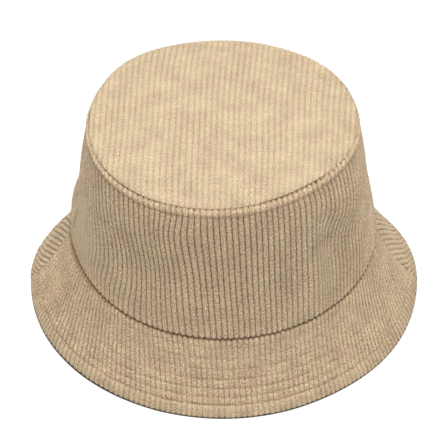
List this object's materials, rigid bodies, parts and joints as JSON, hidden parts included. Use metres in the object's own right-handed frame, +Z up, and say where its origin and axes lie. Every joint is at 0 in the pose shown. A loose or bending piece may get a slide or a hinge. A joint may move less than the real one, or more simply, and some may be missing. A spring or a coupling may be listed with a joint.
{
  "type": "bucket hat",
  "caption": "Lined corduroy bucket hat with a domed round tip, a flared side band and a sloping brim stiffened by rows of topstitching.",
  "frame": {"origin": "centre of the plane that the brim's edge rests on, directly under the middle of the hat", "axes": "+Z up through the tip, -Y towards the front of the hat, +X to the viewer's right when looking at the front"},
  "size_m": [0.2328, 0.2328, 0.135],
  "materials": {
    "corduroy": "beige cotton corduroy, about 8 wales to the inch, soft short pile",
    "topstitch_thread": "matt polyester sewing thread in the cloth's own beige",
    "under_cloth": "dark olive-brown cotton twill",
    "lining_cloth": "thin plain-weave lining in dark olive-brown",
    "interlining": "off-white nonwoven stiffener",
    "sweatband_cloth": "brown grosgrain cotton band with fine cross ribs",
    "sweatband_thread": "matt brown sewing thread",
    "label_cloth": "blank off-white woven satin label",
    "label_thread": "fine off-white thread"
  },
  "bodies": {
    "root": {"crown_tip": "corduroy", "crown_band_front": "corduroy", "crown_band_back": "corduroy", "brim_top_front": "corduroy", "brim_top_back": "corduroy", "brim_interlining_front": "interlining", "brim_interlining_back": "interlining", "brim_under_front": "under_cloth", "brim_under_back": "under_cloth", "lining_tip": "lining_cloth", "lining_band_front": "lining_cloth", "lining_band_back": "lining_cloth", "sweatband": "sweatband_cloth", "care_label": "label_cloth", "tip_topstitch": "topstitch_thread", "brim_stitch_1": "topstitch_thread", "brim_stitch_2": "topstitch_thread", "brim_stitch_3": "topstitch_thread", "brim_stitch_4": "topstitch_thread", "brim_stitch_5": "topstitch_thread", "brim_stitch_6": "topstitch_thread", "brim_stitch_7": "topstitch_thread", "sweatband_stitch": "sweatband_thread", "label_stitch_left": "label_thread", "label_stitch_right": "label_thread"}
  },
  "joints": []
}
